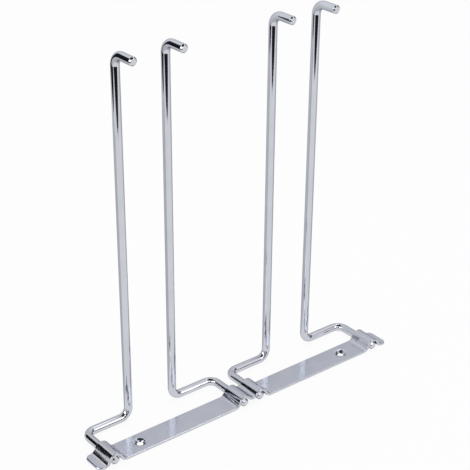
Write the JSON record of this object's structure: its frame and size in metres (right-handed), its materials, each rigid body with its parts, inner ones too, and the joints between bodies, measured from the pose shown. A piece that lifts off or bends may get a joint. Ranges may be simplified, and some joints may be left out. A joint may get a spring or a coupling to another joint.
{
  "type": "hanging wine glass rack",
  "caption": "Wall rack that hangs stemmed glasses by their feet: bent chromed rails swivel in the saddles of one flat screw-on strip.",
  "frame": {"origin": "middle of the base: halfway along the strip, in the wall plane, halfway between the strip's free edge and the back of the rails", "axes": "+X along the strip, +Z out from the wall along the rails, -Y the side that the tips point to, which is up when the rack is on a wall"},
  "size_m": [0.2642, 0.042, 0.272],
  "materials": {
    "strip_chrome": "bright chromium plate on steel strip, slightly soft reflections",
    "rail_chrome": "bright chromium plate on drawn steel bar"
  },
  "bodies": {
    "strip": {"mounting_strip": "strip_chrome"},
    "left_outer_rail": {"rail_left_outer": "rail_chrome"},
    "left_inner_rail": {"rail_left_inner": "rail_chrome"},
    "right_inner_rail": {"rail_right_inner": "rail_chrome"},
    "right_outer_rail": {"rail_right_outer": "rail_chrome"}
  },
  "joints": [
    {"name": "left_outer_swivel", "type": "hinge", "parent": "strip", "child": "left_outer_rail", "pos_m": [-0.11825, 0, 0.003], "axis": [0, -1, 0], "range_deg": [0, 97]},
    {"name": "left_inner_swivel", "type": "hinge", "parent": "strip", "child": "left_inner_rail", "pos_m": [-0.00725, 0, 0.003], "axis": [0, 1, 0], "range_deg": [0, 8.5]},
    {"name": "right_inner_swivel", "type": "hinge", "parent": "strip", "child": "right_inner_rail", "pos_m": [0.00725, 0, 0.003], "axis": [0, -1, 0], "range_deg": [0, 8.5]},
    {"name": "right_outer_swivel", "type": "hinge", "parent": "strip", "child": "right_outer_rail", "pos_m": [0.11825, 0, 0.003], "axis": [0, 1, 0], "range_deg": [0, 97]}
  ]
}
